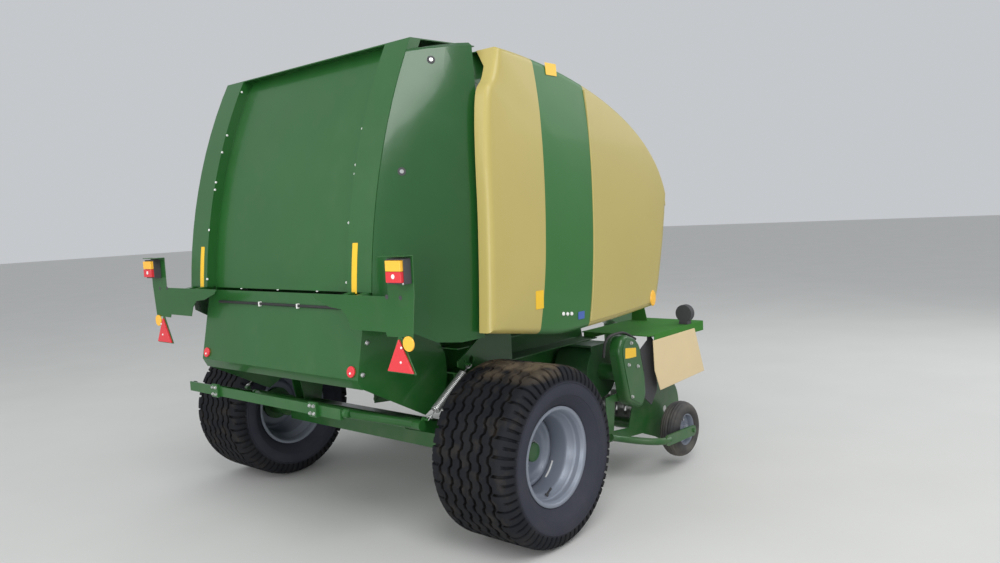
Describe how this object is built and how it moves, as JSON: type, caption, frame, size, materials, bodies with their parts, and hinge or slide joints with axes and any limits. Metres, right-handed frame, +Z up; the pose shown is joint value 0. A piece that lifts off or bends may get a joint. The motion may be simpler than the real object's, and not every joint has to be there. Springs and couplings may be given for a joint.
{
  "type": "round baler",
  "caption": "Towed round baler with a fixed chamber: hinged tailgate and side hoods, tined pickup with gauge wheels, drawbar with jack.",
  "frame": {"origin": "on the ground under the middle of the whole machine", "axes": "+X forward along the drawbar, +Y to the left, +Z up"},
  "size_m": [4.044, 2.59, 2.434],
  "materials": {
    "paint": "satin gloss mid green",
    "dark_paint": "satin dark green",
    "gloss_cover": "high gloss green",
    "hood": "moulded cream with a green band",
    "apron": "matt cream rubber sheet",
    "slat_steel": "worn bare steel",
    "zinc": "zinc plated",
    "chrome_rod": "polished chrome",
    "rim": "silver grey lacquer",
    "tyre": "black rubber",
    "gauge_tyre": "black rubber",
    "black_plastic": "black plastic",
    "red_lens": "clear red lens",
    "amber_lens": "clear amber lens"
  },
  "bodies": {
    "chassis": {"main_frame": "paint", "chamber_front": "paint", "front_conveyor": "slat_steel", "axle": "paint", "drawbar": "paint", "hitch_eye": "slat_steel", "gearbox": "dark_paint", "jack_tube": "paint", "net_box": "paint", "feed_channel": "dark_paint", "shelves": "paint", "flaps": "apron", "drive_guards": "paint", "front_lamps": "black_plastic", "ejector_springs": "zinc"},
    "tailgate": {"tailgate_shell": "paint", "tailgate_lower": "paint", "corner_covers": "gloss_cover", "light_carriers": "paint", "lamp_housings": "black_plastic", "red_lenses": "red_lens", "amber_lenses": "amber_lens", "tailgate_conveyor": "slat_steel"},
    "hood_right": {"hood_right": "hood"},
    "hood_left": {"hood_left": "hood"},
    "wheel_right": {"tyre_right": "tyre", "rim_right": "rim", "hub_right": "paint"},
    "wheel_left": {"tyre_left": "tyre", "rim_left": "rim", "hub_left": "paint"},
    "jack": {"jack_leg": "zinc"},
    "net_lid": {"net_lid": "paint"},
    "pickup": {"pickup_frame": "paint", "strippers": "zinc"},
    "reel": {"pickup_reel": "slat_steel"},
    "gauge_right": {"gauge_tyre_right": "gauge_tyre", "gauge_rim_right": "rim"},
    "gauge_left": {"gauge_tyre_left": "gauge_tyre", "gauge_rim_left": "rim"},
    "windguard": {"windguard": "paint"},
    "rotor": {"feed_rotor": "slat_steel"},
    "kicker": {"ejector": "paint"},
    "barrel_right": {"cylinder_right": "dark_paint"},
    "barrel_left": {"cylinder_left": "dark_paint"},
    "rod_right": {"rod_right": "chrome_rod"},
    "rod_left": {"rod_left": "chrome_rod"}
  },
  "joints": [
    {"name": "tailgate_hinge", "type": "hinge", "parent": "chassis", "child": "tailgate", "pos_m": [-1.002, 0, 2.35], "axis": [0, 1, 0], "range_deg": [0, 60]},
    {"name": "hood_right_hinge", "type": "hinge", "parent": "chassis", "child": "hood_right", "pos_m": [-0.877, -0.8, 2.246], "axis": [-1, 0, 0], "range_deg": [0, 60]},
    {"name": "hood_left_hinge", "type": "hinge", "parent": "chassis", "child": "hood_left", "pos_m": [-0.877, 0.8, 2.246], "axis": [1, 0, 0], "range_deg": [0, 60]},
    {"name": "wheel_right_spin", "type": "hinge", "parent": "chassis", "child": "wheel_right", "pos_m": [-1.237, -1.05, 0.433], "axis": [0, 1, 0], "continuous": true},
    {"name": "wheel_left_spin", "type": "hinge", "parent": "chassis", "child": "wheel_left", "pos_m": [-1.237, 1.05, 0.433], "axis": [0, 1, 0], "continuous": true},
    {"name": "jack_slide", "type": "slide", "parent": "chassis", "child": "jack", "axis": [0, 0, 1], "range_m": [0, 0.3]},
    {"name": "net_lid_hinge", "type": "hinge", "parent": "chassis", "child": "net_lid", "pos_m": [-0.262, 0, 1.812], "axis": [0, -1, 0], "range_deg": [0, 75]},
    {"name": "pickup_lift", "type": "hinge", "parent": "chassis", "child": "pickup", "pos_m": [-0.277, 0, 0.64], "axis": [0, 1, 0], "range_deg": [-5, 5]},
    {"name": "reel_spin", "type": "hinge", "parent": "pickup", "child": "reel", "pos_m": [0.223, 0, 0.32], "axis": [0, 1, 0], "continuous": true},
    {"name": "gauge_right_spin", "type": "hinge", "parent": "pickup", "child": "gauge_right", "pos_m": [0.183, -1.128, 0.219], "axis": [0, 1, 0], "continuous": true},
    {"name": "gauge_left_spin", "type": "hinge", "parent": "pickup", "child": "gauge_left", "pos_m": [0.183, 1.128, 0.219], "axis": [0, 1, 0], "continuous": true},
    {"name": "windguard_lift", "type": "hinge", "parent": "pickup", "child": "windguard", "pos_m": [0.093, 0, 0.52], "axis": [0, -1, 0], "range_deg": [0, 12]},
    {"name": "rotor_spin", "type": "hinge", "parent": "chassis", "child": "rotor", "pos_m": [-0.277, 0, 0.64], "axis": [0, 1, 0], "continuous": true},
    {"name": "kicker_tilt", "type": "hinge", "parent": "chassis", "child": "kicker", "pos_m": [-1.387, 0, 0.52], "axis": [0, -1, 0], "range_deg": [0, 45], "stiffness_Nm_per_rad": 150, "springref_deg": -114.59, "deforming": ["ejector_springs"]},
    {"name": "barrel_right_tilt", "type": "hinge", "parent": "chassis", "child": "barrel_right", "pos_m": [-0.877, -0.7, 1.26], "axis": [0, 1, 0], "range_deg": [0, 11]},
    {"name": "rod_right_slide", "type": "slide", "parent": "barrel_right", "child": "rod_right", "axis": [-0.5682, 0, 0.8229], "range_m": [0, 0.48]},
    {"name": "barrel_left_tilt", "type": "hinge", "parent": "chassis", "child": "barrel_left", "pos_m": [-0.877, 0.7, 1.26], "axis": [0, 1, 0], "range_deg": [0, 11]},
    {"name": "rod_left_slide", "type": "slide", "parent": "barrel_left", "child": "rod_left", "axis": [-0.5682, 0, 0.8229], "range_m": [0, 0.48]}
  ],
  "couplings": [
    {"joint": "barrel_right_tilt", "follows": "tailgate_hinge", "ratio": 0.1767},
    {"joint": "rod_right_slide", "follows": "tailgate_hinge", "m_per_rad": 0.449},
    {"joint": "barrel_left_tilt", "follows": "tailgate_hinge", "ratio": 0.1767},
    {"joint": "rod_left_slide", "follows": "tailgate_hinge", "m_per_rad": 0.449}
  ]
}
